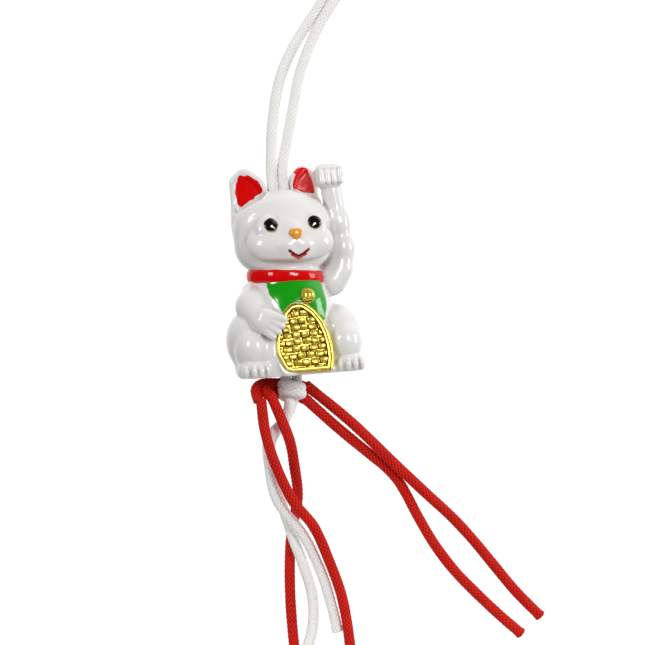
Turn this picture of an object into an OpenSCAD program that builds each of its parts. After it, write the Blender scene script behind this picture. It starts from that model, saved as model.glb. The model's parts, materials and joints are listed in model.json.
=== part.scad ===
// Beckoning cat charm: a hollow two-part figurine threaded on a doubled braided cord.
// +Z is up and the cat faces -Y. The origin is the point where the loop's underside rests on a hook.
// Modules draw the cat in its own place, with its flat base at z = 0 and the cord's bore on the Z axis.
// Left and right are the cat's own: its raised left arm is on the +X side.

/* [Figurine] */
// Width of the head
head_w = 20.8; // [20.4:0.1:21.2]
// Depth of the head
head_d = 18.4; // [18:0.1:18.8]
// Height of the head
head_h = 18; // [17.6:0.1:18.4]
// Height of the head's centre above the base
head_z = 29.5; // [29.2:0.1:29.8]
// Width of the torso
torso_w = 19.2; // [18.8:0.1:19.6]
// Depth of the torso
torso_d = 18; // [17.6:0.1:18.4]
// Height of the torso's full egg shape, which the base cuts off
torso_h = 23; // [22.6:0.1:23.4]
// Thickness of the moulded wall
wall = 1.5; // [1.3:0.1:1.7]
// Bore that the doubled cord runs through
bore_d = 5.2; // [5.1:0.1:5.6]
// Wall around the bore inside the hollow body
bore_wall = 1.1; // [1:0.1:1.3]

/* [Joint between the two mouldings] */
// Diameter of the locating pegs
peg_d = 1.6; // [1.4:0.1:1.8]
// Length of the locating pegs
peg_l = 2; // [1.5:0.1:2.2]
// Gap between a peg and its socket, all round
peg_gap = 0.05; // [0.03:0.01:0.08]

/* [Painted and plated details] */
// Thickness of the painted fields on the body
enamel_t = 0.35; // [0.3:0.05:0.4]
// Height of the collar band
collar_h = 2.7; // [2.5:0.1:2.9]
// Width of the ear shell
ear_w = 9; // [8.8:0.1:9.2]
// Width of the coin
coin_w = 12.2; // [12:0.1:12.4]
// Height of the coin
coin_h = 14.6; // [14.4:0.1:14.8]
// Thickness of the coin
coin_t = 2.3; // [2.1:0.1:2.5]
// Width of the coin's raised rim
coin_rim = 1; // [0.8:0.1:1.2]
// How far the coin leans back against the chest, in degrees
coin_lean = 8; // [6:1:10]
// Radius of the bell on the bib
bell_r = 1.5; // [1.3:0.1:1.6]
// Radius of a pupil
pupil_r = 1.3; // [1.2:0.05:1.4]
// Width of the ring around a pupil
eye_ring = 0.35; // [0.3:0.05:0.4]

/* [Cord] */
// Diameter of the braided cord
cord_d = 2.3; // [2.1:0.1:2.3]
// Largest radius of the white knot under the base
knot_r = 3.05; // [2.9:0.05:3.2]
// Radius of the red cords' bundle where they turn round the white knot
hitch_r = 2; // [1.8:0.1:2.1]

/* [Hidden] */
// The hook's point, in the cat's own place
hook = [23, 0, 94.5];
cord_sides = 8;
smooth = 28;
far = 60;
tiny = 0.01;

head_c = [0, -2.4, head_z];
torso_c = [0, -0.5, 12.5];
chest_c = [0, -3.5, 12];
chest_r = [8, 7.5, 8.5];
neck_c = [0, -1, 20.6];
neck_r = [7.8, 7.4, 4];
collar_z = 19.1;
collar_c = [0, -1.3, collar_z];
collar_r = [8.35, 8.1];
haunch_c = [9.2, -4.2, 7.4];
haunch_r = [4.9, 7.2, 6.6];
ear_c = [5.67, 1.83, 0];
ear_turn = 27;
ear_tip_z = 43.7;
ear_edge = 1.3;
ear_pocket_t = 0.5;
slab_h = 3;
coin_c = [0.2, -11.2, 0.3];
coin_field_t = 0.5;
eye_c = [4.8, -10.1, 31.4];
nose_c = [0.1, -12.1, 29];
mouth_c = [0.3, 25.2];
bell_c = [2.3, -10.7, 16.3];
peg_places = [[-6.4, 28], [6.4, 28], [-7.2, 8], [7.2, 8]];
boss_r = peg_d / 2 + 0.9;

// Cord routes, point by point, in the cat's own place.
loop_route = [
    [-1.2, 0, -1.5], [-1.2, 0, 20], [-1.2, 0, 38], [-1.2, 0, 43], [-0.7, 0, 49.3], [0.4, 0.2, 55.6],
    [2.2, 0.4, 61.9], [5.1, 0.6, 67.5], [8.6, 0.8, 72.4], [12.6, 0.8, 77.7], [15.2, 0.6, 83.2],
    [16.6, 0.4, 87.4], [17.5, 0.3, 90.6], [18.5, 0.2, 93.2], [20.3, 0.1, 95], [22.8, 0, 95.65],
    [25.3, 0, 95], [27.2, 0, 93.1], [27.9, 0, 90.4], [27.1, -0.1, 87.7], [24.9, -0.3, 85.4],
    [21.6, -0.5, 83.2], [18.3, -0.6, 80.9], [14.8, -0.8, 77.5], [11.3, -0.8, 72.7], [8.3, -0.6, 67.3],
    [6, -0.4, 61.6], [4, -0.2, 54.1], [2.4, 0, 47.9], [1.2, 0, 43], [1.2, 0, 38], [1.2, 0, 20],
    [1.2, 0, -1.5]
];
hitch_route = [[4.2, 2.6, -3.4], [-3, 3.2, -3.2], [-5.9, 2.3, -2.8], [-6.9, 0, -2.8], [-6.3, -1.9, -3.4]];
red_left_outer_route = [
    [-7.4, -2.2, -4.6], [-7, -2.4, -11.6], [-5.4, -2.4, -18.2], [-2.1, -2.4, -26.4], [2, -2.2, -32.1],
    [4.9, -1.8, -39.5], [7.3, -1.4, -47.7], [8.3, -1.3, -57.4], [8.2, -1, -63], [7.8, -1, -68.5]
];
red_left_inner_route = [
    [-5.3, -2, -3.6], [-3.5, -2.4, -8.8], [-1.8, -2.2, -14], [-0.5, 0.6, -19.5], [0.5, 3.4, -25.5],
    [-0.2, 5, -30.5], [-1.4, 5.2, -36.1], [-2.6, 3.6, -46.1], [-2.7, 3, -56.6], [-2, 3, -67.5]
];
red_right_upper_route = [
    [3.6, 2.4, -2.6], [8.9, 2.3, -7.4], [13, 2.2, -11.3], [17.6, 2, -16.2], [21.4, 1.9, -20.4],
    [27.6, 1.4, -27.1], [33.3, 1, -33.1], [37.6, 1, -38.3], [41.8, 1, -44], [46.4, 1, -50.2], [51.6, 1, -56.1]
];
red_right_lower_route = [
    [2.8, 2.4, -5], [5.8, 2.6, -8], [9.9, 3, -12], [14.1, 3.7, -15.8], [17.7, 4.1, -19],
    [20.3, 4.2, -21.4], [22.7, 3.9, -24.4], [24.2, 3.2, -27.5], [26, 2, -32.2], [29, 1, -38.5],
    [32.8, 0.3, -44.4], [37.2, 0, -49.6], [41.9, 0, -54.6], [46.7, 0, -59.3]
];
white_front_route = [
    [-0.6, 0, -6], [-1.8, 0.2, -9.2], [-5.6, 0.4, -13.2], [-6, 0.2, -19.1], [-4.8, 0.2, -26.2],
    [0.4, 0.2, -34.2], [3.6, 0.2, -42.2], [5.5, 0.4, -49.9], [6.3, 0.4, -54.8]
];
white_back_route = [
    [0.2, 2.2, -5.6], [-1.2, 2.7, -9.4], [-4.7, 2.8, -14], [-4.6, 2.6, -19.1], [-3.4, 2.6, -26.5],
    [-1.8, 2.7, -33], [0, 2, -39.5], [1.6, 1.6, -46.5], [1.2, 1, -52.9], [-1.2, 0.6, -59.4]
];

// Moves a piece from the cat's own place to its place below the hook.
module hung() {
    translate(-hook) children();
}

module ball(centre, radii, grow = 0) {
    translate(centre) scale([for (r = radii) r + grow]) sphere(1, $fn = smooth);
}

// A limb's stretch: two balls with their skin drawn tight between them.
module limb(from, to, from_r, to_r) {
    hull() {
        translate(from) sphere(from_r, $fn = smooth);
        translate(to) sphere(to_r, $fn = smooth);
    }
}

module both_sides() {
    children();
    mirror([1, 0, 0]) children();
}

module torso_skin(grow = 0) {
    ball(torso_c, [torso_w, torso_d, torso_h] / 2, grow);
    ball(chest_c, chest_r, grow);
}

module head_skin(grow = 0) {
    ball(head_c, [head_w, head_d, head_h] / 2, grow);
    both_sides() ball([4.6, -6.4, 26.7], [5.1, 4.9, 4.5], grow);
    ball([0, -9.6, 27], [3.2, 3, 2.5], grow);
}

// Places a thing in an ear's own plane: its x runs outwards along the ear, its y through the shell.
module in_ear() {
    translate(ear_c) rotate([0, 0, ear_turn]) children();
}

// The ear's rounded triangle, drawn in from its edge by inset.
module ear_outline(inset = 0) {
    half = ear_w / 2 - ear_edge - inset;
    hull() {
        translate([-half, 38.9 + inset / 2]) circle(ear_edge, $fn = smooth);
        translate([half, 35 + inset]) circle(ear_edge, $fn = smooth);
        translate([half, 40.4 - inset / 2]) circle(ear_edge, $fn = smooth);
        translate([1.2, ear_tip_z - ear_edge - inset]) circle(ear_edge, $fn = smooth);
    }
}

module ear_layer(inset, y_front, thick) {
    in_ear() translate([0, y_front + thick, 0]) rotate([90, 0, 0]) linear_extrude(thick) ear_outline(inset);
}

module ear_pocket() {
    ear_layer(1, -4, 4 - ear_pocket_t);
}

module ear_shell() {
    hull() {
        ear_layer(0.6, -1.5, 2.8);
        ear_layer(0, -1, 1.6);
    }
}

module haunch() {
    hull() {
        ball(haunch_c, haunch_r);
        ball([8.4, -3, 1.2], [4.2, 7.5, 2.4]);
    }
}

module foot() {
    hull() {
        ball([9.8, -10.4, 1.5], [2.9, 3, 1.9]);
        ball([9.4, -6, 2], [2.9, 3, 2]);
    }
}

// The cat's right arm comes forward to hold the coin.
module coin_arm() {
    limb([-5.9, -1.8, 17.6], [-8, -6.3, 13], 2.9, 3.2);
    limb([-8, -6.3, 13], [-6.5, -11.3, 10.4], 3.2, 2.6);
    limb([-6.5, -11.3, 10.4], [-5.2, -12.4, 10], 2.6, 2.3);
}

// The cat's left arm is raised beside the head, and its paw folds forward.
module beckoning_arm() {
    limb([6.4, -1.4, 18], [9.5, -3, 19.2], 2.8, 2.9);
    limb([9.5, -3, 19.2], [11.8, -2.8, 26], 2.9, 2.6);
    limb([11.8, -2.8, 26], [10.3, -2.8, 37], 2.6, 2.5);
    hull() {
        ball([10.3, -2.8, 40.4], [3, 2.6, 3]);
        ball([10.3, -4, 39.6], [2.9, 2.4, 2.2]);
    }
}

module tail() {
    limb([1.5, 7.2, 3.4], [4.4, 9.2, 5.2], 2.3, 2.1);
}

// The flat-bottomed slab that joins the feet, haunches and coin.
module base_slab() {
    hull() both_sides() {
        translate([6.2, 3.6, 0]) cylinder(r = 5, h = slab_h, $fn = smooth);
        translate([7.6, -7, 0]) cylinder(r = 4, h = slab_h, $fn = smooth);
    }
}

// The egg shape of the coin with a flat foot, drawn in from its edge by inset.
module coin_outline(inset = 0) {
    intersection() {
        hull() {
            translate([0, 6]) circle(coin_w / 2 - inset, $fn = smooth * 2);
            both_sides() translate([3.2, 2.2]) circle(2.4 - inset, $fn = smooth);
            translate([-0.4, coin_h - 3.8]) circle(3.8 - inset, $fn = smooth);
        }
        translate([-far / 2, inset]) square(far);
    }
}

module in_coin() {
    translate(coin_c) rotate([-coin_lean, 0, 0]) children();
}

module coin_layer(inset, y_front, thick) {
    in_coin() translate([0, y_front + thick, 0]) rotate([90, 0, 0]) linear_extrude(thick) coin_outline(inset);
}

// Everything in white, as one closed body before it is split and hollowed.
module cat_skin() {
    intersection() {
        union() {
            torso_skin();
            head_skin();
            ball(neck_c, neck_r);
            both_sides() {
                haunch();
                foot();
                ear_shell();
            }
            coin_arm();
            beckoning_arm();
            tail();
            base_slab();
            coin_layer(0.2, 0, 8);
        }
        translate([-far, -far, 0]) cube([far * 2, far * 2, far]);
    }
}

module bore() {
    translate([0, 0, -tiny]) cylinder(d = bore_d, h = far, $fn = smooth + 4);
}

// The hollow inside the two mouldings, clear of the bore's own wall.
module cavity() {
    difference() {
        intersection() {
            union() {
                ball(torso_c, [torso_w, torso_d, torso_h] / 2, -wall);
                ball(head_c, [head_w, head_d, head_h] / 2, -wall);
                ball(neck_c, neck_r, -wall);
                both_sides() ball(haunch_c, haunch_r, -wall);
            }
            translate([-far, -far, wall]) cube([far * 2, far * 2, far]);
        }
        cylinder(d = bore_d + 2 * bore_wall, h = far, $fn = smooth);
        for (place = peg_places) peg_column(place, boss_r, far);
    }
}

// A round column along Y through the parting plane, at place = [x, z].
module peg_column(place, radius, reach) {
    translate([place[0], reach / 2, place[1]]) rotate([90, 0, 0]) cylinder(r = radius, h = reach, $fn = smooth);
}

module front_half() {
    translate([-far, -far * 2, -far]) cube([far * 2, far * 2, far * 3]);
}

module moulding() {
    difference() {
        cat_skin();
        cavity();
        bore();
        both_sides() ear_pocket();
    }
}

module front_shell() {
    color("white") union() {
        intersection() {
            moulding();
            front_half();
        }
        for (place = peg_places) peg_column(place, peg_d / 2, peg_l * 2);
    }
}

module back_shell() {
    color("white") difference() {
        moulding();
        front_half();
        for (place = peg_places) peg_column(place, peg_d / 2 + peg_gap, (peg_l + peg_gap) * 2);
    }
}

module collar() {
    color("red") difference() {
        translate(collar_c) linear_extrude(collar_h) scale(collar_r) circle(1, $fn = smooth * 2);
        cat_skin();
        bore();
    }
}

module bib() {
    color("green") difference() {
        intersection() {
            torso_skin(enamel_t);
            translate([0, 0, -tiny]) rotate([90, 0, 0]) linear_extrude(far) hull() {
                both_sides() translate([5.5, collar_z - 1]) circle(1, $fn = smooth);
                both_sides() translate([3.9, 13.3]) circle(2.5, $fn = smooth);
            }
        }
        cat_skin();
    }
}

module bell() {
    color("gold") difference() {
        ball(bell_c, [bell_r, bell_r, bell_r]);
        torso_skin(enamel_t);
        cat_skin();
    }
}

module coin() {
    color("gold") difference() {
        coin_layer(0, -coin_t, coin_t);
        coin_layer(coin_rim, -far, far - coin_t + coin_field_t);
        cat_skin();
        torso_skin(enamel_t);
    }
}

module ear_enamel() {
    color("red") difference() {
        ear_layer(1, -ear_pocket_t - enamel_t, enamel_t);
        head_skin();
    }
}

// A domed paint spot: what lies within radius of a point on the face, up to thick above the skin.
module face_spot(centre, radius, thick) {
    intersection() {
        translate(centre) sphere(radius, $fn = smooth);
        head_skin(thick);
    }
}

module pupil() {
    color("black") difference() {
        face_spot(eye_c, pupil_r, enamel_t);
        cat_skin();
    }
}

module eye_ring() {
    color("khaki") difference() {
        face_spot(eye_c, pupil_r + eye_ring, enamel_t / 2);
        translate(eye_c) sphere(pupil_r, $fn = smooth);
        cat_skin();
    }
}

module nose() {
    color("orange") difference() {
        ball(nose_c, [1.4, 1, 1.25]);
        cat_skin();
    }
}

// A smile as the overlap of a ring and a wedge, low on the muzzle, from inner to outer radius.
module smile(inner, outer) {
    translate([mouth_c[0], 0, mouth_c[1]]) rotate([90, 0, 0]) linear_extrude(far) intersection() {
        translate([0, 1.7]) difference() {
            circle(outer, $fn = smooth * 2);
            circle(inner, $fn = smooth * 2);
        }
        polygon([[0, 1.7], [-3.2, -1.5], [3.2, -1.5]]);
    }
}

module mouth() {
    color("darkred") difference() {
        intersection() {
            smile(2.1, 2.6);
            head_skin(enamel_t / 2);
        }
        cat_skin();
    }
}

module lower_lip() {
    color("red") difference() {
        intersection() {
            smile(2.6, 3);
            head_skin(enamel_t / 2);
        }
        cat_skin();
    }
}

function unit(v) = v / norm(v);
function heading(route, i) = unit(route[min(i + 1, len(route) - 1)] - route[max(i - 1, 0)]);
// One ring of a cord: cord_sides points around route point i.
function ring(route, i, radius) = let (
    along = heading(route, i),
    side = unit(cross(along, [0, 1, 0])),
    back = cross(along, side)
) [for (k = [0 : cord_sides - 1]) let (a = 360 * k / cord_sides)
    route[i] + radius * (cos(a) * side + sin(a) * back)];

// A cord's tube, swept ring by ring along its route.
module cord(route, radius = cord_d / 2) {
    last = len(route) - 1;
    points = [for (i = [0 : last]) each ring(route, i, radius)];
    walls = [for (i = [0 : last - 1], k = [0 : cord_sides - 1])
        let (next = (k + 1) % cord_sides, low = i * cord_sides, high = low + cord_sides)
        each [[low + k, low + next, high + k], [low + next, high + next, high + k]]];
    start_cap = [for (k = [cord_sides - 1 : -1 : 0]) k];
    end_cap = [for (k = [0 : cord_sides - 1]) last * cord_sides + k];
    polyhedron(points, concat(walls, [start_cap, end_cap]));
}

module hanging_loop() {
    color("whitesmoke") cord(loop_route);
}

// The outer shape of the white overhand knot that the figurine rests on.
module cord_knot() {
    color("whitesmoke") rotate_extrude($fn = smooth) polygon([
        [0, -0.5], [knot_r * 0.7, -0.5], [knot_r, -1.6], [knot_r, -4.4], [knot_r * 0.8, -5.6],
        [knot_r * 0.45, -8], [0, -8]
    ]);
}

module red_hitch() {
    color("firebrick") cord(hitch_route, hitch_r);
}

module white_tail(route) {
    color("whitesmoke") cord(route);
}

module red_tail(route) {
    color("red") cord(route);
}

hung() front_shell();
hung() back_shell();
hung() collar();
hung() bib();
hung() bell();
hung() coin();
hung() ear_enamel();  // left_ear_enamel
hung() mirror([1, 0, 0]) ear_enamel();  // right_ear_enamel
hung() eye_ring();  // left_eye_ring
hung() mirror([1, 0, 0]) eye_ring();  // right_eye_ring
hung() pupil();  // left_pupil
hung() mirror([1, 0, 0]) pupil();  // right_pupil
hung() nose();
hung() mouth();
hung() lower_lip();
hung() hanging_loop();
hung() cord_knot();
hung() red_hitch();
hung() white_tail(white_front_route);  // white_tail_front
hung() white_tail(white_back_route);  // white_tail_back
hung() red_tail(red_left_outer_route);  // red_tail_left_outer
hung() red_tail(red_left_inner_route);  // red_tail_left_inner
hung() red_tail(red_right_upper_route);  // red_tail_right_upper
hung() red_tail(red_right_lower_route);  // red_tail_right_lower
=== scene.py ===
import json
import math

import bpy
import numpy as np
from mathutils import Matrix, Vector


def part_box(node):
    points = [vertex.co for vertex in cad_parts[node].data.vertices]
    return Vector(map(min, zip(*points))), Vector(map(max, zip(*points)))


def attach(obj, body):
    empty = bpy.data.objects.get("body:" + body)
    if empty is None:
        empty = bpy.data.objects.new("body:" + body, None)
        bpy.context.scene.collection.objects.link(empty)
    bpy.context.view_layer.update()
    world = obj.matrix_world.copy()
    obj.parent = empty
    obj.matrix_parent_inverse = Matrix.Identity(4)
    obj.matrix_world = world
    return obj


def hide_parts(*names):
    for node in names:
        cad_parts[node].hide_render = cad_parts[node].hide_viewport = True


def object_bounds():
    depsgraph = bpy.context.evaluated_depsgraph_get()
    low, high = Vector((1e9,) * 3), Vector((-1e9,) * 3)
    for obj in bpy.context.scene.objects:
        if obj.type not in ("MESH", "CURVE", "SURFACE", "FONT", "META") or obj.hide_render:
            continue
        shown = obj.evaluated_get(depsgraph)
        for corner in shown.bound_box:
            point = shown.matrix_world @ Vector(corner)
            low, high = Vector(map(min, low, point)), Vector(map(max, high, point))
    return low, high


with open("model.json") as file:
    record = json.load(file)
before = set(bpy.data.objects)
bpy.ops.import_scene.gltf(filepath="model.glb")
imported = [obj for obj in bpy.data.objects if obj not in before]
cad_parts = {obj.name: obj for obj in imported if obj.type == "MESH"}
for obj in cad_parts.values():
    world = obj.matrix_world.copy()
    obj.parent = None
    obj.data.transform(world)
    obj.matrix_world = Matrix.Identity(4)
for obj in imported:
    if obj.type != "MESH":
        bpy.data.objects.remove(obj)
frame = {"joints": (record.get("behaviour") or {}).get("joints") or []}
cad_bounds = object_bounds()

# The cat's own place: millimetres from the middle of its flat base, where the bore comes out.
# The hinge gives the bore's axis, and the lower edge of the front moulding gives the base.
MM = 0.001
twist = next(j for j in frame["joints"] if j["name"] == "figurine_twist")
CAT = np.array([twist["pos_m"][0], twist["pos_m"][1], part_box("front_shell")[0][2]])


def placed(points):
    """Points in the cat's own millimetres, as metres in the frame."""
    return np.asarray(points, float) * MM + CAT


# ---------------------------------------------------------------- studio
# A long lens looks at the cat from its right, about level, with the charm leaning a little to the left.
# Soft boxes light it from both sides and a bright room from behind, and a plain pale floor lies below.

VIEW_TURN = math.radians(-15)
VIEW_RISE = math.radians(1.0)
VIEW_LEAN = math.radians(4.0)
VIEW_WIDTH_MM = 135.1
VIEW_FROM_MM = 620
VIEW_CENTRE_MM = (7.33, 10.3)
LIGHTS_FACE_MM = (0, 0, 20)

level_right = Vector((math.cos(VIEW_TURN), math.sin(VIEW_TURN), 0))
back = Vector((
    math.sin(VIEW_TURN) * math.cos(VIEW_RISE),
    -math.cos(VIEW_TURN) * math.cos(VIEW_RISE),
    math.sin(VIEW_RISE),
))
level_up = back.cross(level_right)
right = level_right * math.cos(VIEW_LEAN) - level_up * math.sin(VIEW_LEAN)
up = level_up * math.cos(VIEW_LEAN) + level_right * math.sin(VIEW_LEAN)
aim = Vector(CAT) + (level_right * VIEW_CENTRE_MM[0] + level_up * VIEW_CENTRE_MM[1]) * MM

lens = bpy.data.cameras.new("camera")
camera = bpy.data.objects.new("camera", lens)
bpy.context.scene.collection.objects.link(camera)
bpy.context.scene.camera = camera
lens.sensor_width = 36
lens.lens = lens.sensor_width * VIEW_FROM_MM / VIEW_WIDTH_MM
lens.clip_start = 0.01
eye = aim + back * VIEW_FROM_MM * MM
camera.matrix_world = Matrix((
    (right.x, up.x, back.x, eye.x),
    (right.y, up.y, back.y, eye.y),
    (right.z, up.z, back.z, eye.z),
    (0, 0, 0, 1),
))


def soft_light(name, place_mm, size_mm, watts):
    """A soft box at a place in the cat's own millimetres, turned to face the cat's middle."""
    data = bpy.data.lights.new(name, "AREA")
    data.shape = "RECTANGLE"
    data.size, data.size_y = size_mm[0] * MM, size_mm[1] * MM
    data.energy = watts
    box = bpy.data.objects.new(name, data)
    bpy.context.scene.collection.objects.link(box)
    box.location = Vector(placed(place_mm))
    towards = Vector(placed(LIGHTS_FACE_MM)) - box.location
    box.rotation_euler = towards.to_track_quat("-Z", "Y").to_euler()


soft_light("key_left", (-400, -270, 190), (130, 150), 0.75)
soft_light("key_right", (120, -452, 138), (120, 130), 0.9)
soft_light("fill_right", (440, -130, 60), (140, 200), 0.45)


def new_node(nodes, kind, **values):
    """A new shader node, with its plain input values set."""
    made = nodes.new("ShaderNode" + kind)
    for socket, value in values.items():
        made.inputs[socket.replace("_", " ")].default_value = value
    return made


BACKDROP = 1.05
BRIGHT_SIDE = (0.4, 0.78, 0.48)
ROOM_GREYS = [(0.1, 0.24), (0.45, 0.48), (0.68, 1.0)]
MIRRORED_GREYS = [(0.6, 0.02), (0.92, 1.0)]

world = bpy.data.worlds.new("studio")
bpy.context.scene.world = world
world.use_nodes = True
world_nodes, world_links = world.node_tree.nodes, world.node_tree.links
world_nodes.clear()
coords = new_node(world_nodes, "TexCoord")
towards_bright = new_node(world_nodes, "VectorMath")
towards_bright.operation = "DOT_PRODUCT"
towards_bright.inputs[1].default_value = BRIGHT_SIDE
world_links.new(coords.outputs["Generated"], towards_bright.inputs[0])
lift = new_node(world_nodes, "MapRange", From_Min=-1, From_Max=1)
world_links.new(towards_bright.outputs["Value"], lift.inputs["Value"])


def grey_ramp(stops):
    """A ramp of greys towards the bright side, from pairs of position and brightness."""
    ramp = new_node(world_nodes, "ValToRGB")
    elements = ramp.color_ramp.elements
    elements[0].position, elements[1].position = stops[0][0], stops[-1][0]
    for position, _ in stops[1:-1]:
        elements.new(position)
    for element, (_, grey) in zip(elements, stops):
        element.color = (grey, grey, grey, 1)
    world_links.new(lift.outputs["Result"], ramp.inputs["Fac"])
    return ramp


ray = new_node(world_nodes, "LightPath")
by_ray = new_node(world_nodes, "Mix")
by_ray.data_type = "RGBA"
world_links.new(ray.outputs["Is Glossy Ray"], by_ray.inputs["Factor"])
world_links.new(grey_ramp(ROOM_GREYS).outputs["Color"], by_ray.inputs["A"])
world_links.new(grey_ramp(MIRRORED_GREYS).outputs["Color"], by_ray.inputs["B"])
room = new_node(world_nodes, "Background", Strength=1.0)
world_links.new(by_ray.outputs["Result"], room.inputs["Color"])
backdrop = new_node(world_nodes, "Background", Color=(1, 1, 1, 1), Strength=BACKDROP)
pick = new_node(world_nodes, "MixShader")
world_links.new(ray.outputs["Is Camera Ray"], pick.inputs["Fac"])
world_links.new(room.outputs["Background"], pick.inputs[1])
world_links.new(backdrop.outputs["Background"], pick.inputs[2])
world_out = new_node(world_nodes, "OutputWorld")
world_links.new(pick.outputs["Shader"], world_out.inputs["Surface"])
bpy.context.scene.view_settings.view_transform = "Standard"


def mesh_object(name, points, faces, smooth=True):
    """A new mesh object from points in metres and faces, with tidy outward normals."""
    mesh = bpy.data.meshes.new(name)
    mesh.from_pydata([tuple(p) for p in points], [], [tuple(int(i) for i in f) for f in faces])
    mesh.validate()
    mesh.update()
    if smooth:
        mesh.polygons.foreach_set("use_smooth", np.ones(len(mesh.polygons), bool))
    made = bpy.data.objects.new(name, mesh)
    bpy.context.scene.collection.objects.link(made)
    return made


def new_material(name, **values):
    """A material with one Principled shader, its plain values set on the shader's own sockets."""
    material = bpy.data.materials.new(name)
    material.use_nodes = True
    shader = material.node_tree.nodes["Principled BSDF"]
    for socket, value in values.items():
        shader.inputs[socket.replace("_", " ")].default_value = value
    return material, material.node_tree.nodes, material.node_tree.links, shader


FLOOR_R_MM = 80
FLOOR_MIDDLE_MM = 10
FLOOR_DROP_MM = 1.5
FLOOR_SIDES = 96
angles = np.linspace(0, 2 * math.pi, FLOOR_SIDES, endpoint=False)
floor_points = placed(
    [(FLOOR_MIDDLE_MM, 0, 0)]
    + [(FLOOR_MIDDLE_MM + FLOOR_R_MM * math.cos(a), FLOOR_R_MM * math.sin(a), 0) for a in angles]
)
floor_points[:, 2] = cad_bounds[0][2] - FLOOR_DROP_MM * MM
floor_faces = [(0, 1 + i, 1 + (i + 1) % FLOOR_SIDES) for i in range(FLOOR_SIDES)]
floor = mesh_object("floor", floor_points, floor_faces, smooth=False)
pale, _, _, _ = new_material("pale_floor", Base_Color=(0.66, 0.66, 0.65, 1), Roughness=0.8)
floor.data.materials.append(pale)

# ---------------------------------------------------------------- cords
# One white braid is doubled through the cat, knotted under it, and left with two cut tails. Two red braids
# pass round behind the knot and give four more. All are soft round braids of sixteen strands, hot-cut.

# Millimetres; a braid winds half of its strands each way.
CORD_D = 2.3
STRANDS_ROUND = 8
BRAID_PITCH = 1.05
BRAID_RELIEF = 0.2
FACETS_ROUND = 48
RING_STEP = 0.15
FLARE_REACH = 1.4
UV_PER_MM = 0.01

LOOP_ROUTE = [
    (-1.2, 0, -1.5), (-1.2, 0, 20), (-1.2, 0, 38), (-1.2, 0, 43), (-0.7, 0, 49.3), (0.4, 0.2, 55.6),
    (2.2, 0.4, 61.9), (5.1, 0.6, 67.5), (8.6, 0.8, 72.4), (12.6, 0.8, 77.7), (15.2, 0.6, 83.2),
    (16.6, 0.4, 87.4), (17.5, 0.3, 90.6), (18.5, 0.2, 93.2), (20.3, 0.1, 95), (22.8, 0, 95.65),
    (25.3, 0, 95), (27.2, 0, 93.1), (27.9, 0, 90.4), (27.1, -0.1, 87.7), (24.9, -0.3, 85.4),
    (21.6, -0.5, 83.2), (18.3, -0.6, 80.9), (14.8, -0.8, 77.5), (11.3, -0.8, 72.7), (8.3, -0.6, 67.3),
    (6, -0.4, 61.6), (4, -0.2, 54.1), (2.4, 0, 47.9), (1.2, 0, 43), (1.2, 0, 38), (1.2, 0, 20),
    (1.2, 0, -1.5),
]
RED_LEFT_OUTER_ROUTE = [
    (-7.4, -2.2, -4.6), (-7, -2.4, -11.6), (-5.4, -2.4, -18.2), (-2.1, -2.4, -26.4), (2, -2.2, -32.1),
    (4.9, -1.8, -39.5), (7.3, -1.4, -47.7), (8.3, -1.3, -57.4), (8.2, -1, -63), (7.8, -1, -68.5),
]
RED_LEFT_INNER_ROUTE = [
    (-5.3, -2, -3.6), (-3.5, -2.4, -8.8), (-1.8, -2.2, -14), (-0.5, 0.6, -19.5), (0.5, 3.4, -25.5),
    (-0.2, 5, -30.5), (-1.4, 5.2, -36.1), (-2.6, 3.6, -46.1), (-2.7, 3, -56.6), (-2, 3, -67.5),
]
RED_RIGHT_UPPER_ROUTE = [
    (3.6, 2.4, -2.6), (8.9, 2.3, -7.4), (13, 2.2, -11.3), (17.6, 2, -16.2), (21.4, 1.9, -20.4),
    (27.6, 1.4, -27.1), (33.3, 1, -33.1), (37.6, 1, -38.3), (41.8, 1, -44), (46.4, 1, -50.2),
    (51.6, 1, -56.1),
]
RED_RIGHT_LOWER_ROUTE = [
    (2.8, 2.4, -5), (5.8, 2.6, -8), (9.9, 3, -12), (14.1, 3.7, -15.8), (17.7, 4.1, -19),
    (20.3, 4.2, -21.4), (22.7, 3.9, -24.4), (24.2, 3.2, -27.5), (26, 2, -32.2), (29, 1, -38.5),
    (32.8, 0.3, -44.4), (37.2, 0, -49.6), (41.9, 0, -54.6), (46.7, 0, -59.3),
]
WHITE_FRONT_ROUTE = [
    (-0.6, 0, -6), (-1.8, 0.2, -9.2), (-5.6, 0.4, -13.2), (-6, 0.2, -19.1), (-4.8, 0.2, -26.2),
    (0.4, 0.2, -34.2), (3.6, 0.2, -42.2), (5.5, 0.4, -49.9), (6.3, 0.4, -54.8),
]
WHITE_BACK_ROUTE = [
    (0.2, 2.2, -5.6), (-1.2, 2.7, -9.4), (-4.7, 2.8, -14), (-4.6, 2.6, -19.1), (-3.4, 2.6, -26.5),
    (-1.8, 2.7, -33), (0, 2, -39.5), (1.6, 1.6, -46.5), (1.2, 1, -52.9), (-1.2, 0.6, -59.4),
]


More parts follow.
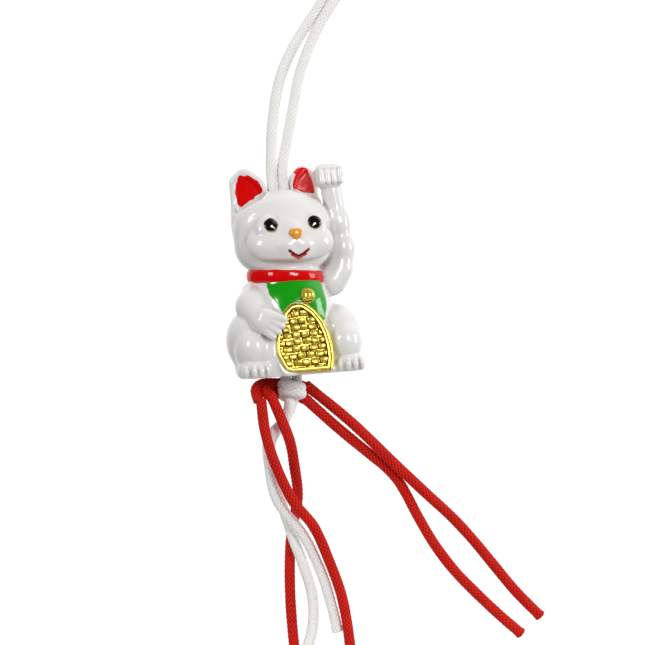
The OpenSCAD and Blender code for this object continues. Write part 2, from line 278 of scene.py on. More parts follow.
def smooth_line(route, step=RING_STEP):
    """Points a step apart on one smooth curve through the route's points."""
    route = np.array(route, float)
    ends = np.vstack([2 * route[0] - route[1], route, 2 * route[-1] - route[-2]])
    dense = []
    for before, here, there, after in zip(ends, ends[1:], ends[2:], ends[3:]):
        chord = np.linalg.norm(there - here)
        leave = (there - before) * chord / (np.linalg.norm(there - here) + np.linalg.norm(here - before))
        arrive = (after - here) * chord / (np.linalg.norm(after - there) + np.linalg.norm(there - here))
        t = np.linspace(0, 1, max(8, int(chord / step * 2)), endpoint=False)[:, None]
        dense.append(
            (2 * t**3 - 3 * t**2 + 1) * here + (t**3 - 2 * t**2 + t) * leave
            + (3 * t**2 - 2 * t**3) * there + (t**3 - t**2) * arrive
        )
    dense = np.vstack(dense + [route[-1:]])
    along = np.concatenate([[0], np.cumsum(np.linalg.norm(np.diff(dense, axis=0), axis=1))])
    at = np.linspace(0, along[-1], max(4, int(along[-1] / step)))
    return np.stack([np.interp(at, along, dense[:, k]) for k in range(3)], axis=1)


def braid_height(turns, along):
    """How high a round braid's surface stands, 0 to 1: two sets of strands that pass over and under."""
    first = turns * STRANDS_ROUND + along / BRAID_PITCH
    second = turns * STRANDS_ROUND - along / BRAID_PITCH
    across_first, across_second = first % 1, second % 1
    first_on_top = (np.floor(first) + np.floor(second)) % 2 < 0.5
    over = np.where(first_on_top, across_first, across_second)
    under = np.where(first_on_top, across_second, across_first)
    return np.sin(np.pi * over) ** 0.6 * (0.55 + 0.45 * np.sin(np.pi * under) ** 0.7)


def braid_shell(line, seed, cut_end=False):
    """The points, faces and (turns, along) coordinates of a round braid along a line, in millimetres."""
    tangents = np.gradient(line, axis=0)
    tangents /= np.linalg.norm(tangents, axis=1)[:, None]
    side = np.cross(tangents[0], (0, 1, 0))
    side /= np.linalg.norm(side)
    sides = [side]
    for tangent in tangents[1:]:
        side = side - tangent * side.dot(tangent)
        side /= np.linalg.norm(side)
        sides.append(side)
    sides = np.array(sides)
    ups = np.cross(tangents, sides)
    along = np.concatenate([[0], np.cumsum(np.linalg.norm(np.diff(line, axis=0), axis=1))])
    turns = np.arange(FACETS_ROUND) / FACETS_ROUND
    draw = np.random.default_rng(seed)
    marks = np.arange(0, along[-1] + 4, 2)
    wobble = np.interp(along, marks, draw.normal(0, 0.012, len(marks)))
    height = braid_height(turns[None, :], along[:, None] + 0.2 * draw.random())
    radius = CORD_D / 2 * (1 + wobble[:, None]) - BRAID_RELIEF * (1 - height)
    if cut_end:
        gap = (along[-1] - along)[:, None]
        near = np.clip(1 - gap / FLARE_REACH, 0, 1)
        fray = 0.5 + 0.5 * np.sin(turns * 2 * np.pi * 5 + seed) * np.sin(turns * 2 * np.pi * 11)
        radius = radius * (1 + 0.1 * near**1.5) + 0.05 * near * fray
        radius = radius * (1 - 0.08 * np.clip(1 - gap / 0.16, 0, 1))
    angle = turns * 2 * np.pi
    points = line[:, None] + radius[..., None] * (
        np.cos(angle)[None, :, None] * sides[:, None] + np.sin(angle)[None, :, None] * ups[:, None]
    )
    rings = len(line)
    i, k = np.meshgrid(np.arange(rings - 1), np.arange(FACETS_ROUND), indexing="ij")
    low, high, after = i * FACETS_ROUND, (i + 1) * FACETS_ROUND, (k + 1) % FACETS_ROUND
    faces = np.stack([low + k, low + after, high + after, high + k], axis=-1).reshape(-1, 4)
    points = points.reshape(-1, 3)
    coordinates = np.stack(np.broadcast_arrays(turns[None, :], along[:, None]), axis=-1).reshape(-1, 2)
    caps = []
    for ring_start, centre, outward, flip in (
        (0, line[0], -tangents[0], True), ((rings - 1) * FACETS_ROUND, line[-1], tangents[-1], False),
    ):
        rim = points[ring_start:ring_start + FACETS_ROUND]
        inner = centre + (rim - centre) * 0.72 + outward * 0.1
        bumps = 0.04 * np.sin(np.arange(FACETS_ROUND) * 1.7 + seed)[:, None] * outward
        first_inner = len(points)
        points = np.vstack([points, inner + bumps, centre + outward * 0.03])
        end_along = coordinates[ring_start, 1]
        ring_coordinates = np.stack([turns, np.full(FACETS_ROUND, end_along)], axis=1)
        coordinates = np.vstack([coordinates, ring_coordinates, [[0, end_along]]])
        hub = len(points) - 1
        for k in range(FACETS_ROUND):
            n = (k + 1) % FACETS_ROUND
            quad = [ring_start + k, first_inner + k, first_inner + n, ring_start + n]
            spoke = [first_inner + k, hub, first_inner + n]
            caps.append(quad if flip else quad[::-1])
            caps.append(spoke if flip else spoke[::-1])
    return points, faces.tolist() + caps, coordinates


def braid_object(name, shells, material):
    """One mesh object from one or more braid shells, its braid coordinates kept as the UV map."""
    points, faces, coordinates = [], [], []
    for shell_points, shell_faces, shell_coordinates in shells:
        start = sum(len(p) for p in points)
        points.append(shell_points)
        faces += [[start + v for v in face] for face in shell_faces]
        coordinates.append(shell_coordinates)
    made = mesh_object(name, placed(np.vstack(points)), faces)
    coordinates = np.vstack(coordinates)
    layer = made.data.uv_layers.new(name="braid")
    corner = np.empty(len(made.data.loops), int)
    made.data.loops.foreach_get("vertex_index", corner)
    layer.data.foreach_set("uv", (coordinates[corner] * (1, UV_PER_MM)).astype(np.float32).ravel())
    made.data.materials.append(material)
    return made


def braid_material(name, light, gap_shade, sheen_tint, roughness):
    """Braided cord: its colour darkened in the gaps between strands as painted shade, with fine twisted
    fibres and a soft sheen.
    """
    material, nodes, links, shader = new_material(
        name, Roughness=roughness, Specular_IOR_Level=0.15,
        Sheen_Weight=0.08, Sheen_Roughness=0.4, Sheen_Tint=sheen_tint,
    )
    uv = new_node(nodes, "UVMap")
    uv.uv_map = "braid"
    stretch = new_node(nodes, "Mapping", Scale=(90, 5200, 1))
    links.new(uv.outputs["UV"], stretch.inputs["Vector"])
    fibre = new_node(nodes, "TexNoise", Scale=1.0, Detail=2)
    links.new(stretch.outputs["Vector"], fibre.inputs["Vector"])
    place = new_node(nodes, "TexCoord")
    cloud = new_node(nodes, "TexNoise", Scale=260, Detail=3)
    links.new(place.outputs["Object"], cloud.inputs["Vector"])
    height = new_node(nodes, "Attribute")
    height.attribute_name = "height"
    mix_in = new_node(nodes, "Math")
    mix_in.operation = "MULTIPLY_ADD"
    mix_in.inputs[1].default_value = 0.25
    links.new(cloud.outputs["Fac"], mix_in.inputs[0])
    links.new(height.outputs["Fac"], mix_in.inputs[2])
    shade = new_node(nodes, "ValToRGB")
    # The low stop is painted shade in the gaps between strands; the high stop is the cord's own colour.
    shaded_gaps, strands = shade.color_ramp.elements
    shaded_gaps.position, shaded_gaps.color = 0.35, gap_shade
    strands.position, strands.color = 1.0, light
    links.new(mix_in.outputs["Value"], shade.inputs["Fac"])
    links.new(shade.outputs["Color"], shader.inputs["Base Color"])
    bump = new_node(nodes, "Bump", Strength=0.5, Distance=0.00006)
    links.new(fibre.outputs["Fac"], bump.inputs["Height"])
    links.new(bump.outputs["Normal"], shader.inputs["Normal"])
    return material


def keep_with_points(made, name, values):
    """Stores a number with each point of a mesh, for its material to read."""
    mark = made.data.attributes.new(name, "FLOAT", "POINT")
    mark.data.foreach_set("value", values.astype(np.float32))


def on_the_cord(made, node):
    """Marks how high a braid's points stand between its strands, for its material to paint shade in the
    gaps, and puts it in its node's place.
    """
    uv = np.empty(len(made.data.loops) * 2, np.float32)
    made.data.uv_layers["braid"].data.foreach_get("uv", uv)
    corner = np.empty(len(made.data.loops), int)
    made.data.loops.foreach_get("vertex_index", corner)
    heights = np.zeros(len(made.data.vertices))
    uv = uv.reshape(-1, 2)
    heights[corner] = braid_height(uv[:, 0], uv[:, 1] / UV_PER_MM)
    keep_with_points(made, "height", heights)
    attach(made, "cord")
    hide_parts(node)


# Each braid's darker colour is painted shade in the gaps between its strands.
white_braid = braid_material(
    "white_braid", light=(0.95, 0.94, 0.92, 1), gap_shade=(0.79, 0.77, 0.74, 1),
    sheen_tint=(1, 1, 1, 1), roughness=0.72,
)
red_braid = braid_material(
    "red_braid", light=(0.8, 0.014, 0.004, 1), gap_shade=(0.17, 0.0, 0.001, 1),
    sheen_tint=(1, 0.2, 0.1, 1), roughness=0.6,
)


def free_cord(name, node, route, material, slot, far_end, stiffness, seed):
    """A length of braid along its route, standing for its CAD tube, which it hides."""
    line = smooth_line(route)
    made = braid_object(name, [braid_shell(line, seed, cut_end=far_end == "bare")], material)
    on_the_cord(made, node)


free_cord("hanging_loop_braid", "hanging_loop", LOOP_ROUTE, white_braid, "white_cord", "object", "stiff", 1)
TAILS = [
    ("white_front_braid", "white_tail_front", WHITE_FRONT_ROUTE, white_braid, "white_cord"),
    ("white_back_braid", "white_tail_back", WHITE_BACK_ROUTE, white_braid, "white_cord"),
    ("red_left_outer_braid", "red_tail_left_outer", RED_LEFT_OUTER_ROUTE, red_braid, "red_cord"),
    ("red_left_inner_braid", "red_tail_left_inner", RED_LEFT_INNER_ROUTE, red_braid, "red_cord"),
    ("red_right_upper_braid", "red_tail_right_upper", RED_RIGHT_UPPER_ROUTE, red_braid, "red_cord"),
    ("red_right_lower_braid", "red_tail_right_lower", RED_RIGHT_LOWER_ROUTE, red_braid, "red_cord"),
]
for seed, tail in enumerate(TAILS, 2):
    free_cord(*tail, "bare", "medium", seed)

# ---------------------------------------------------------------- white knot and red hitch
# The white braid is wound twice round itself into a snug knot that the cat sits on. The two red braids lie
# behind it, turn forward under the cat's right side, and bend down into the tails.

KNOT_TURNS = 2.35
KNOT_R = 1.88
turn = np.linspace(0, 1, 60)
wraps = np.stack([
    KNOT_R * np.cos(2 * np.pi * KNOT_TURNS * turn + 0.6),
    KNOT_R * np.sin(2 * np.pi * KNOT_TURNS * turn + 0.6),
    -1.75 - 2.9 * turn - 0.25 * np.cos(2 * np.pi * KNOT_TURNS * turn),
], axis=1)
core_left = [(-1.2, 0, -1), (-0.9, 0.3, -4), (-0.7, 0.2, -6), (-1.4, 0.2, -8.6)]
core_right = [(1.2, 0, -1), (0.9, 0.8, -4), (0.4, 1.9, -6), (-0.4, 2.4, -8)]
knot_lines = enumerate((wraps, core_left, core_right), 11)
knot_shells = [braid_shell(smooth_line(line), seed) for seed, line in knot_lines]
knot = braid_object("white_knot", knot_shells, white_braid)
on_the_cord(knot, "cord_knot")

hitch_upper = [
    (4.6, 2.5, -3.6), (1.5, 3.4, -2.2), (-2.6, 3.2, -1.8), (-6, 1.8, -1.7), (-7.9, -0.4, -2.8),
    (-7.7, -1.4, -5.2),
]
hitch_lower = [
    (4.2, 2.1, -6.2), (1.2, 3.6, -4.6), (-2.4, 3.8, -4), (-5.2, 2.2, -3.6), (-5.8, -0.6, -3.2),
    (-5.1, -2, -4.4),
]
hitch_lines = enumerate((hitch_upper, hitch_lower), 14)
hitch_shells = [braid_shell(smooth_line(line), seed) for seed, line in hitch_lines]
hitch = braid_object("red_hitch_braid", hitch_shells, red_braid)
on_the_cord(hitch, "red_hitch")

# ---------------------------------------------------------------- white mouldings
# The cat is moulded hollow in two halves in white plastic, glued on a plane through the cord's bore, and
# dipped in white gloss enamel that softens every edge. It is sculpted as one smooth body and split in two.

# Millimetres; the wall is thinner only where a recess outside comes near the hollow.
WALL = 1.5
THINNEST = 1.0
BORE_R = 2.6
TUBE_WALL = 1.1
BODY_STEP = 0.26
SEAM_ROUND = 0.12


def ellipsoid(at, centre, radii):
    """Signed distance, nearly, to an ellipsoid, in millimetres."""
    x, y, z = ((a - c) for a, c in zip(at, centre))
    near = np.sqrt((x / radii[0])**2 + (y / radii[1])**2 + (z / radii[2])**2)
    steep = np.sqrt((x / radii[0]**2)**2 + (y / radii[1]**2)**2 + (z / radii[2]**2)**2)
    return near * (near - 1) / np.maximum(steep, 1e-4)


def limb(at, start, end, start_r, end_r):
    """A rounded limb from start to end whose radius changes evenly."""
    run = np.subtract(end, start).astype(float)
    rel = [a - s for a, s in zip(at, start)]
    share = np.clip(sum(r * d for r, d in zip(rel, run)) / run.dot(run), 0, 1)
    gap = np.sqrt(sum((r - share * d)**2 for r, d in zip(rel, run)))
    return gap - (start_r + (end_r - start_r) * share)


def block(at, centre, half, edge):
    """A box with well rounded edges."""
    over = [np.abs(a - c) - (h - edge) for a, c, h in zip(at, centre, half)]
    outside = np.sqrt(sum(np.maximum(o, 0)**2 for o in over))
    return outside + np.minimum(np.maximum(np.maximum(over[0], over[1]), over[2]), 0) - edge


def join(a, b, soft):
    """Two shapes as one, with a fillet of about the given size where they meet."""
    blend = np.maximum(soft - np.abs(a - b), 0) / soft
    return np.minimum(a, b) - blend * blend * soft / 4


def cut(a, b, soft):
    """What lies in both shapes, with the edge between them rounded by about the given size."""
    return -join(-a, -b, soft)


def turned(x, y, degrees):
    """Two coordinates in axes turned by an angle."""
    c, s = math.cos(math.radians(degrees)), math.sin(math.radians(degrees))
    return x * c + y * s, y * c - x * s


def outline(u, v, corners, edge):
    """Signed distance to a convex outline, rounded by edge about corners given anticlockwise."""
    inside = np.full(np.shape(u), -99.0)
    gap = np.full(np.shape(u), 99.0)
    for (au, av), (bu, bv) in zip(corners, corners[1:] + corners[:1]):
        du, dv = bu - au, bv - av
        size = math.hypot(du, dv)
        inside = np.maximum(inside, ((u - au) * dv - (v - av) * du) / size)
        share = np.clip(((u - au) * du + (v - av) * dv) / size**2, 0, 1)
        gap = np.minimum(gap, np.hypot(u - au - share * du, v - av - share * dv))
    return np.where(inside < 0, np.maximum(inside, -gap), gap) - edge


def head_shape(at):
    """Hood, face and their features; the face is a mask in relief on the front of the hood."""
    x, y, z = at
    side = (np.abs(x), y, z)
    hood = join(
        ellipsoid(at, (0, -1.6, 30.4), (10.5, 8.8, 8.3)),
        ellipsoid(at, (0, -1.6, 26.2), (10.2, 8.6, 6.0)), 2.0,
    )
    hood = join(hood, ellipsoid(side, (7.5, 1.6, 32.6), (2.6, 4.2, 5.4)), 1.2)
    mask = ellipsoid(at, (0, -4.6, 28.9), (9.4, 6.6, np.where(z > 28.9, 8.2, 5.8)))
    mask = join(mask, ellipsoid(side, (4.5, -6.6, 26.9), (4.7, 4.3, 3.4)), 1.8)
    mask = join(mask, ellipsoid(at, (0.2, -7.7, 25.4), (5.4, 3.3, 2.2)), 2.2)
    mound = ellipsoid(side, (4.6, -8.5, 30.9), (3.3, 1.95, 3.3))
    lid = np.exp(-((mound - mask) / 0.3)**2) * np.clip((z - 31.2) / 1.2, 0, 1) * np.clip(-y - 8, 0, 1)
    face = join(mask, mound, 0.3) + 0.5 * lid
    face = join(face, ellipsoid(at, (0.1, -10.1, 28.7), (1.7, 2.0, 2.6)), 1.8)
    face = join(face, ellipsoid(side, (1.5, -10.5, 26.9), (2.2, 1.7, 1.7)), 1.0)
    face = join(face, ellipsoid(at, (0.4, -9.7, 24.9), (3.2, 1.9, 1.4)), 1.5)
    rim = np.exp(-((hood - mask) / 0.6)**2) * np.clip((37.5 - z) / 4, 0.3, 1)
    return join(hood, face, 0.4) + 0.72 * rim


EAR_MIDDLE = {-1: 5.67, 1: 5.25}
EAR_BACK = 1.83
EAR_TURN = 27
EAR_CORNERS = [(-2.9, 37.2), (2.1, 35.2), (2.2, 40.6), (1.1, 41.6), (-0.9, 40.1)]
EAR_EDGE = 2.0
EAR_HALF = 1.3
EAR_RIM = 0.8
EAR_RECESS = 0.45


def ear_place(x, y):
    """How far a point is out along the ear from its middle, and how far behind its middle plane."""
    middle = np.where(x > 0, EAR_MIDDLE[1], EAR_MIDDLE[-1])
    return turned(np.abs(x) - middle, y - EAR_BACK, EAR_TURN)


def ear_cup(at):
    """Distance to the ear's outline, and how far behind its slightly cupped middle plane."""
    out, behind = ear_place(at[0], at[1])
    return outline(out, at[2], EAR_CORNERS, EAR_EDGE), behind + 0.03 * out**2 - 0.1


def with_ears(at, head):
    """The head with its ears: thick cupped plates, hollowed in front inside a raised rim."""
    edge, cup = ear_cup(at)
    head = join(head, cut(edge, np.abs(cup) - EAR_HALF, 1.5), 0.5)
    ahead = np.maximum(-cup - EAR_HALF, 0)
    recess = cut(edge + EAR_RIM + 0.25 * ahead, cup + EAR_HALF - EAR_RECESS, 1.3)
    return cut(head, -recess, 0.5 + 0.8 * np.clip(ahead, 0, 1))


FOOT_TOES = (-2.25, -0.75, 0.75, 2.25)
PAW_TOES = (-2.0, -0.67, 0.67, 2.0)
FINGER_TIPS = [(-4.1, -13.7, 11.8), (-4.6, -13.6, 10.5), (-5.4, -13.4, 9.3), (-6.5, -13.0, 8.4)]


def feet_shape(at):
    """Both hind feet, each with four toes."""
    x, y, z = at
    side = (np.abs(x), y, z)
    instep = limb(side, (9.6, -5, 3), (9.9, -8.6, 2.2), 2.8, 2.4)
    feet = join(ellipsoid(side, (9.9, -8.4, 1.6), (3.5, 3.8, 2.9)), instep, 1.0)
    for spread in FOOT_TOES:
        tip = -11.45 + 0.12 * spread**2
        feet = join(feet, ellipsoid(side, (10 + spread, tip, 1.45), (0.76, 1.5, 1.55)), 0.08)
    return feet


def raised_arm_shape(at):
    """The left arm, raised beside the head, with its paw bent forward and a web back to the hood."""
    bones = [
        ((6.8, -1.4, 18.2), 2.8), ((9.3, -2.9, 18.9), 2.7), ((11.1, -2.9, 21.4), 2.5),
        ((11.9, -2.9, 25.5), 2.45), ((11.5, -2.9, 31), 2.2), ((10.7, -2.9, 37.5), 2.15),
    ]
    arm = limb(at, bones[0][0], bones[1][0], bones[0][1], bones[1][1])
    for (start, start_r), (end, end_r) in zip(bones[1:], bones[2:]):
        arm = join(arm, limb(at, start, end, start_r, end_r), 2.0)
    paw = block(at, (10.1, -3.3, 40.75), (2.95, 2.35, 2.6), 1.9)
    for spread in PAW_TOES:
        paw = join(paw, limb(at, (10.1 + spread, -5.3, 42.1), (10.1 + spread, -5.6, 39.6), 0.62, 0.7), 0.1)
    web = ellipsoid(at, (9.7, -1.2, 26), (2.2, 2.4, 9.0))
    return join(join(arm, paw, 0.5), web, 0.8)


def coin_arm_shape(at):
    """The right arm, bent down to hold the coin, with four fingers on the coin's border."""
    arm = limb(at, (-6.9, -1.8, 17.0), (-8.4, -5.5, 14.6), 3.1, 3.4)
    arm = join(arm, limb(at, (-8.4, -5.5, 14.6), (-7.6, -10.6, 11.5), 3.4, 2.75), 1.5)
    for number, tip in enumerate(FINGER_TIPS):
        knuckle = (-7.6 - 0.2 * number, tip[1] + 1.9, 0.75 * tip[2] + 4.3)
        arm = join(arm, limb(at, knuckle, tip, 1.4, 0.72), 0.1 if number else 0.9)
    return arm


COIN_FOOT = (0.2, -11.2, 0.3)
COIN_LEAN = 8


def coin_place(at):
    """Coordinates in the coin's own leaning plane: across it, in front of its back, and up it."""
    x, y, z = (a - f for a, f in zip(at, COIN_FOOT))
    lean = math.radians(COIN_LEAN)
    return x, z * math.sin(lean) - y * math.cos(lean), z * math.cos(lean) + y * math.sin(lean)


COIN_CORNERS = [
    (-2.7, 2.5), (3.3, 0.9), (3.75, 3.0), (3.65, 5.2), (3.25, 7.4), (2.5, 9.5), (1.3, 11.2), (0.1, 12.2),
    (-0.8, 12.2), (-1.6, 11.4), (-2.6, 9.4), (-3.4, 7.0), (-3.6, 4.6),
]
COIN_EDGE = 2.4


def coin_outline(across, high):
    """Signed distance to the coin's egg outline with its flat foot."""
    return np.maximum(outline(across, high, COIN_CORNERS, COIN_EDGE), -high)


def cat_shape(at):
    """Signed distance, nearly, to the outside of the white cat, in its own millimetres."""
    x, y, z = at
    side = (np.abs(x), y, z)
    cat = ellipsoid(at, (0, -0.5, 12.5), (9.5, 9.0, 11.6))
    cat = join(cat, ellipsoid(at, (0.3, -3.4, 13), (7.7, 7.4, 8.6)), 2.0)
    cat = join(cat, ellipsoid(at, (0, -1.1, 20.6), (7.7, 7.5, 4)), 1.0)
    haunch = ellipsoid(side, (9.3, -4.0, 7.6), (4.8, 6.8, 6.5))
    haunch = join(haunch, ellipsoid(side, (8.5, -3, 1.6), (3.7, 7.2, 3.0)), 1.5)
    knee = ellipsoid(side, (9.7, -7.3, 6.1), (3.9, 4.9, 5.0))
    fold = np.exp(-((haunch - knee) / 0.5)**2) * np.clip((z - 2.5) / 2, 0, 1)
    cat = join(cat, join(haunch, knee, 0.6) + 0.22 * fold, 0.8)
    cat = join(cat, feet_shape(at), 0.4)
    slab = np.hypot(np.maximum(np.abs(x) - 6.6, 0), np.maximum(np.abs(y + 1.6) - 5.8, 0)) - 3.9
    cat = join(cat, cut(slab, z - 1.6, 0.8), 0.6)
    across, ahead, high = coin_place(at)
    egg = coin_outline(across, high)
    cat = join(cat, np.maximum(egg - 0.6, np.maximum(ahead + 1.2, -8 - ahead)), 1.2)
    bed = np.maximum(egg - 0.35 - 0.5 * np.clip((3 - high) / 3, 0, 1), np.maximum(across + 2, high - 10))
    cat = join(cat, np.maximum(bed, np.maximum(ahead - 1.4, -8 - ahead)), 0.8)
    cat = join(cat, ellipsoid(at, (-6.5, -8.9, 4.2), (2.1, 3.3, 5.6)), 1.0)
    cat = cut(cat, -np.maximum(egg + 0.25, 0.3 - ahead), 0.1)
    cat = join(cat, with_ears(at, head_shape(at)), 0.7)
    cat = join(cat, coin_arm_shape(at), 0.5)
    cat = join(cat, raised_arm_shape(at), 0.4)
    tail = limb(at, (0.5, 6.6, 3.2), (3.8, 8.9, 4.6), 2.4, 2.2)
    tail = join(tail, ellipsoid(at, (4.2, 9.0, 5.2), (2.2, 2.1, 2.4)), 1.0)
    return cut(join(cat, tail, 0.7), -z, 0.5)


def hollow_shape(at):
    """The space inside the glued halves, with the bore's tube left standing in it."""
    x, y, z = at
    inner = ellipsoid(at, (0, -0.5, 12.5), (9.5 - WALL, 9.0 - WALL, 11.6 - WALL))
    inner = join(inner, ellipsoid(at, (0, -1.6, 29.9), (10.2 - WALL, 8.6 - WALL, 8.2 - WALL)), 1.5)
    inner = join(inner, ellipsoid(at, (0, -1.1, 20.6), (7.7 - WALL, 7.5 - WALL, 4)), 1.5)
    inner = cut(inner, WALL - z, 0.5)
    return cut(inner, BORE_R + TUBE_WALL - np.hypot(x, y), 0.5)


def moulding_shape(at):
    """The glued mouldings: the cat with its hollow and its bore."""
    x, y, _ = at
    cat = cat_shape(at)
    room = np.maximum(hollow_shape(at), cat + THINNEST)
    return cut(cut(cat, -room, 0.1), BORE_R - np.hypot(x, y), 0.25)


def shape_net(values, origin, step):
    """A quad mesh round the negative side of a field of samples, with one point in each mixed cell."""
    inside = values < 0
    corners = [(a, b, c) for a in (0, 1) for b in (0, 1) for c in (0, 1)]
    size = np.array(values.shape) - 1
    count = sum(
        inside[a:a + size[0], b:b + size[1], c:c + size[2]].astype(np.int8) for a, b, c in corners
    )
    cells = np.argwhere((count > 0) & (count < 8))
    number = np.full(tuple(size), -1, np.int64)
    number[tuple(cells.T)] = np.arange(len(cells))
    total, hits = np.zeros((len(cells), 3)), np.zeros(len(cells))
    for i, a in enumerate(corners):
        for b in corners[i + 1:]:
            if sum(abs(p - q) for p, q in zip(a, b)) != 1:
                continue
            at_a = values[tuple((cells + a).T)].astype(float)
            at_b = values[tuple((cells + b).T)].astype(float)
            crossed = (at_a < 0) != (at_b < 0)
            share = np.where(crossed, at_a / np.where(crossed, at_a - at_b, 1), 0)
            total += crossed[:, None] * (np.array(a) + share[:, None] * (np.array(b) - np.array(a)))
            hits += crossed
    points = origin + (cells + total / hits[:, None]) * step
    faces = []
    for axis in range(3):
        ahead = np.zeros(3, int)
        ahead[axis] = 1
        s, t = (axis + 1) % 3, (axis + 2) % 3
        low = inside[tuple(slice(0, n - d) for n, d in zip(values.shape, ahead))]
        high = inside[tuple(slice(d, n) for n, d in zip(values.shape, ahead))]
        edges = np.argwhere(low != high)
        for side in (s, t):
            edges = edges[(edges[:, side] > 0) & (edges[:, side] < size[side])]
        step_s, step_t = np.eye(3, dtype=int)[s], np.eye(3, dtype=int)[t]
        shifts = (0 * step_s, step_s, step_s + step_t, step_t)
        ring = [number[tuple((edges - shift).T)] for shift in shifts]
        quads = np.stack(ring, axis=1)
        faces.append(np.where(low[tuple(edges.T)][:, None], quads, quads[:, ::-1]))
    return points, np.vstack(faces)


def slope_of(shape, points, nudge=0.02):
    """A shape's value and its slope at each point."""
    here = shape(tuple(points.T))
    slope = [(shape(tuple((points + nudge * axis).T)) - here) / nudge for axis in np.eye(3)]
    return here, np.stack(slope, axis=1)


def settled(points, shape, rounds):
    """Points moved onto a shape's surface, along its slope."""
    for _ in range(rounds):
        here, slope = slope_of(shape, points)
        size = np.maximum((slope**2).sum(axis=1), 0.05)
        points = points - np.clip(here / size, -0.3, 0.3)[:, None] * slope
    return points


def evened(points, faces, shape, rounds):
    """Points spread more evenly over the surface and put back on it."""
    for _ in range(rounds):
        total, hits = np.zeros_like(points), np.zeros(len(points))
        for a, b in ((0, 1), (1, 2), (2, 3), (3, 0)):
            for p, q in ((a, b), (b, a)):
                np.add.at(total, faces[:, p], points[faces[:, q]])
                np.add.at(hits, faces[:, p], 1)
        points = settled(points * 0.5 + 0.5 * total / hits[:, None], shape, 1)
    return points


def sculpted(name, shape, low, high, step, even=2):
    """A mesh object of a shape, and its points in the cat's own millimetres."""
    axes = [np.arange(a, b + step, step) for a, b in zip(low, high)]
    points, faces = shape_net(shape(np.meshgrid(*axes, indexing="ij")), np.array(low, float), step)
    points = evened(settled(points, shape, 2), faces, shape, even)
    return mesh_object(name, placed(points), faces), points


def mark_crease_shade(made, points, shape, reach=1.5):
    """Keeps with each point how much shape stands just outside it, 0 in the open and 1 deep in a crease,
    for its material to paint shade by.
    """
    _, slope = slope_of(shape, points, 0.05)
    slope /= np.maximum(np.linalg.norm(slope, axis=1), 0.1)[:, None]
    crease_shade = np.zeros(len(points))
    for share in (0.3, 0.6, 1.0):
        out = shape(tuple((points + slope * reach * share).T))
        crease_shade += np.clip(1 - out / (reach * share), 0, 1) / 3
    keep_with_points(made, "crease_shade", crease_shade)


def enamel_group():
    """Thick gloss paint: colour that clouds a little and is darkened in creases by painted shade, and its
    orange peel.
    """
    group = bpy.data.node_groups.new("gloss_enamel", "ShaderNodeTree")
    for label, kind, default in (
        ("Colour", "NodeSocketColor", (0.8, 0.8, 0.8, 1)),
        ("Crease Shade Colour", "NodeSocketColor", (0.4, 0.4, 0.4, 1)),
        ("Crease Shade Amount", "NodeSocketFloat", 0.5), ("Cloud Amount", "NodeSocketFloat", 0.1),
        ("Peel Size", "NodeSocketFloat", 900.0), ("Peel Depth", "NodeSocketFloat", 0.00004),
    ):
        group.interface.new_socket(label, in_out="INPUT", socket_type=kind).default_value = default
    group.interface.new_socket("Colour", in_out="OUTPUT", socket_type="NodeSocketColor")
    group.interface.new_socket("Normal", in_out="OUTPUT", socket_type="NodeSocketVector")
    nodes, links = group.nodes, group.links
    given, out = nodes.new("NodeGroupInput"), nodes.new("NodeGroupOutput")
    place = new_node(nodes, "TexCoord")
    cloud = new_node(nodes, "TexNoise", Scale=210, Detail=4)
    links.new(place.outputs["Object"], cloud.inputs["Vector"])
    # Painted shade: the colour is mixed towards its darker second colour deep in creases, where shade
    # falls.
    crease_shade = new_node(nodes, "Attribute")
    crease_shade.attribute_name = "crease_shade"
    depth = new_node(nodes, "MapRange", From_Min=0.3, From_Max=0.95)
    links.new(crease_shade.outputs["Fac"], depth.inputs["Value"])
    links.new(given.outputs["Crease Shade Amount"], depth.inputs["To Max"])
    blotch = new_node(nodes, "Math")
    blotch.operation = "MULTIPLY_ADD"
    links.new(cloud.outputs["Fac"], blotch.inputs[0])
    links.new(given.outputs["Cloud Amount"], blotch.inputs[1])
    links.new(depth.outputs["Result"], blotch.inputs[2])
    shade = new_node(nodes, "Mix")
    shade.data_type = "RGBA"
    links.new(blotch.outputs["Value"], shade.inputs["Factor"])
    links.new(given.outputs["Colour"], shade.inputs["A"])
    links.new(given.outputs["Crease Shade Colour"], shade.inputs["B"])
    links.new(shade.outputs["Result"], out.inputs["Colour"])
    peel = new_node(nodes, "TexNoise", Detail=1)
    links.new(place.outputs["Object"], peel.inputs["Vector"])
    links.new(given.outputs["Peel Size"], peel.inputs["Scale"])
    bump = new_node(nodes, "Bump", Strength=0.3)
    links.new(given.outputs["Peel Depth"], bump.inputs["Distance"])
    links.new(peel.outputs["Fac"], bump.inputs["Height"])
    links.new(bump.outputs["Normal"], out.inputs["Normal"])
    return group


gloss_enamel = enamel_group()
ENAMEL_FINISH = {"Roughness": 0.25, "Coat_Weight": 0.7, "Coat_Roughness": 0.05, "Specular_IOR_Level": 0.5}


# Every enamel's second colour is painted shade, laid on where creases hold shade.
def enamel_material(name, colour, crease_shade_colour, crease_shade, cloud, peel=0.00004, peel_size=900, **finish):
    """Gloss enamel with its own colour for the open surface and a darker colour painted in the creases as
    shade.
    """
    material, nodes, links, shader = new_material(name, **(ENAMEL_FINISH | finish))
    paint = nodes.new("ShaderNodeGroup")
    paint.node_tree = gloss_enamel
    for label, value in (
        ("Colour", (*colour, 1)), ("Crease Shade Colour", (*crease_shade_colour, 1)), ("Crease Shade Amount", crease_shade),
        ("Cloud Amount", cloud), ("Peel Size", peel_size), ("Peel Depth", peel),
    ):
        paint.inputs[label].default_value = value
    links.new(paint.outputs["Colour"], shader.inputs["Base Color"])
    links.new(paint.outputs["Normal"], shader.inputs["Normal"])
    return material


